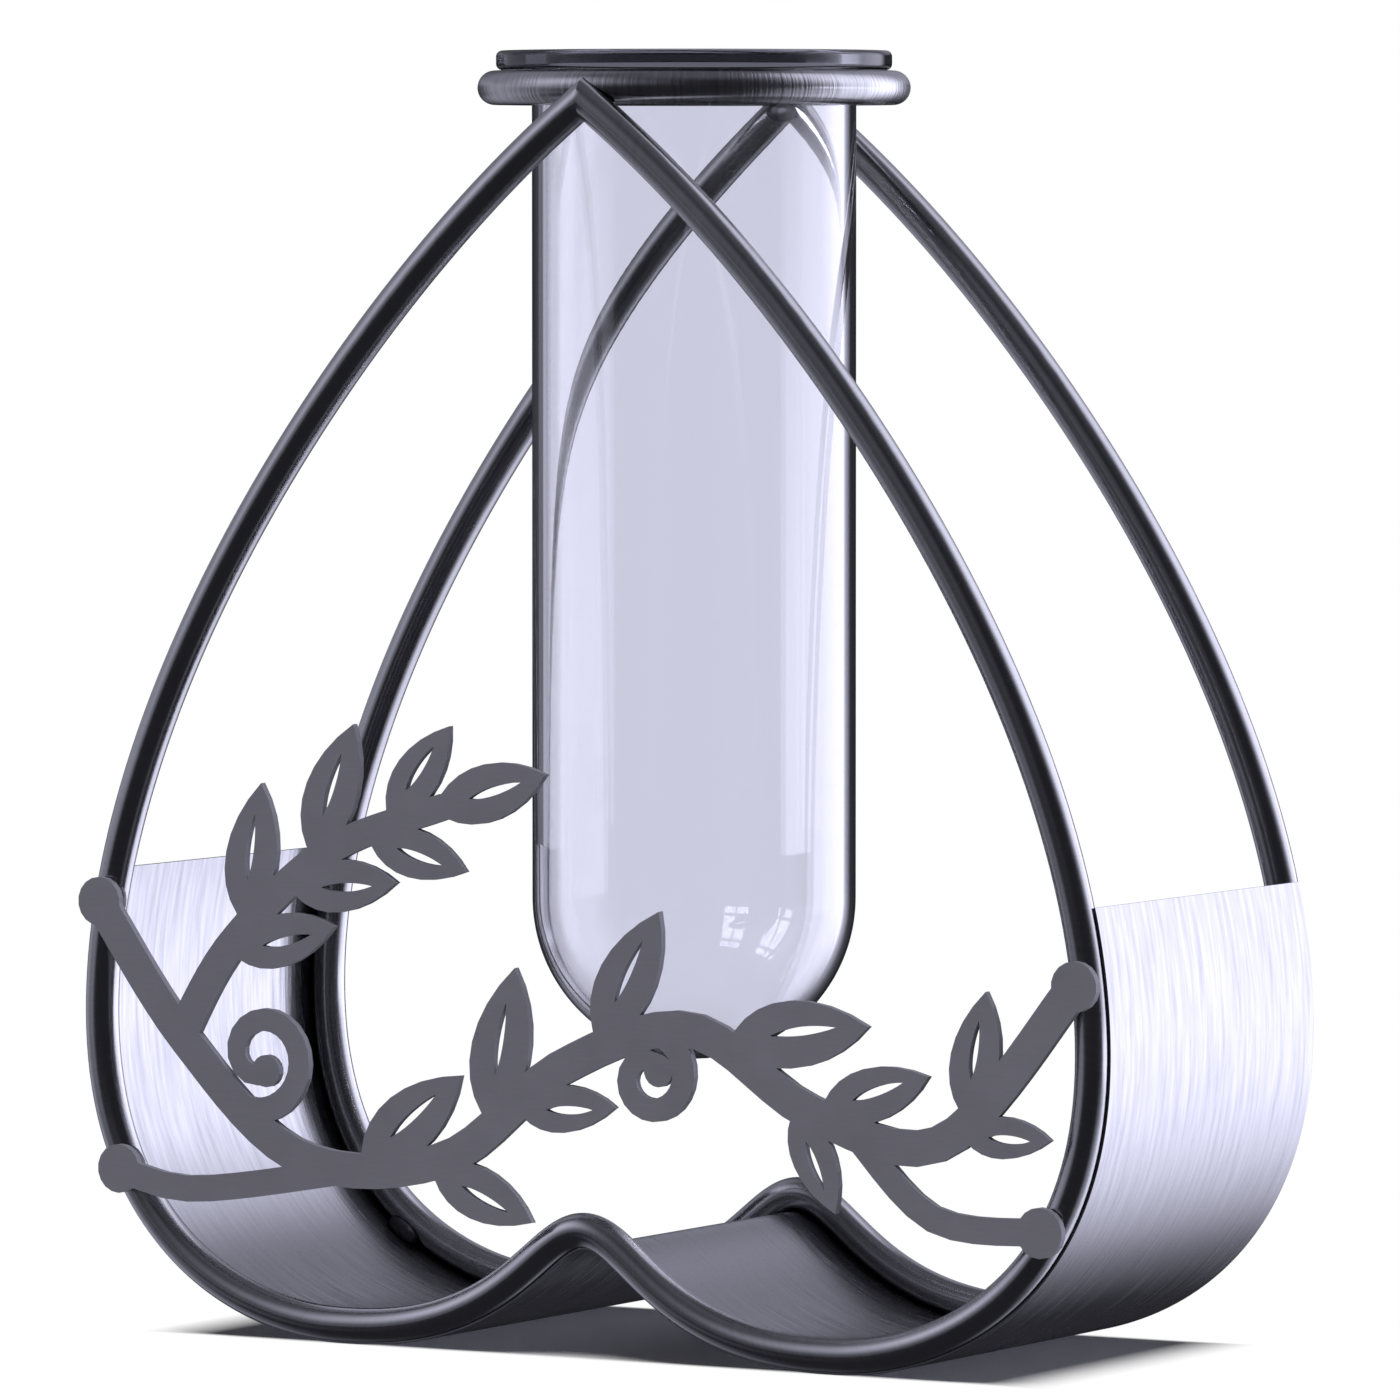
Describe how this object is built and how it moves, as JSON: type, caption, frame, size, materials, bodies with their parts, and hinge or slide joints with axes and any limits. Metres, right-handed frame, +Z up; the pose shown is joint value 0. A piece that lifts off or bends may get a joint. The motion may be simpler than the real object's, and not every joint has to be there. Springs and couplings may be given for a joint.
{
  "type": "glass vase with metal frame",
  "caption": "Round-bottomed glass tube vase hung by its rim in a ring on a heart-shaped steel rod frame, with a brushed sheet band as base and a cut vine plate in front.",
  "frame": {"origin": "on the tube's axis, at floor level under the band's two lobes", "axes": "+Z up along the tube, -Y to the front that carries the vine plate, +X to the right seen from the front"},
  "size_m": [0.1326, 0.054, 0.1464],
  "materials": {
    "glass": "clear, polished",
    "rod_steel": "dark satin, finely brushed",
    "band_steel": "brushed along its length",
    "plate_steel": "flat, matt grey",
    "weld_steel": "as welded"
  },
  "bodies": {
    "frame": {"support_ring": "rod_steel", "front_hoop": "rod_steel", "rear_hoop": "rod_steel", "base_band": "band_steel", "vine_plate": "plate_steel", "apex_weld_front": "weld_steel", "apex_weld_rear": "weld_steel", "band_weld_front_left_high": "weld_steel", "band_weld_front_left_low": "weld_steel", "band_weld_front_right_high": "weld_steel", "band_weld_front_right_low": "weld_steel", "band_weld_rear_left_high": "weld_steel", "band_weld_rear_left_low": "weld_steel", "band_weld_rear_right_high": "weld_steel", "band_weld_rear_right_low": "weld_steel", "plate_weld_left_high": "weld_steel", "plate_weld_left_low": "weld_steel", "plate_weld_right_high": "weld_steel", "plate_weld_right_low": "weld_steel"},
    "tube": {"glass_tube": "glass"}
  },
  "joints": [
    {"name": "tube_lift", "type": "slide", "parent": "frame", "child": "tube", "axis": [0, 0, 1], "range_m": [0, 0.118]}
  ]
}
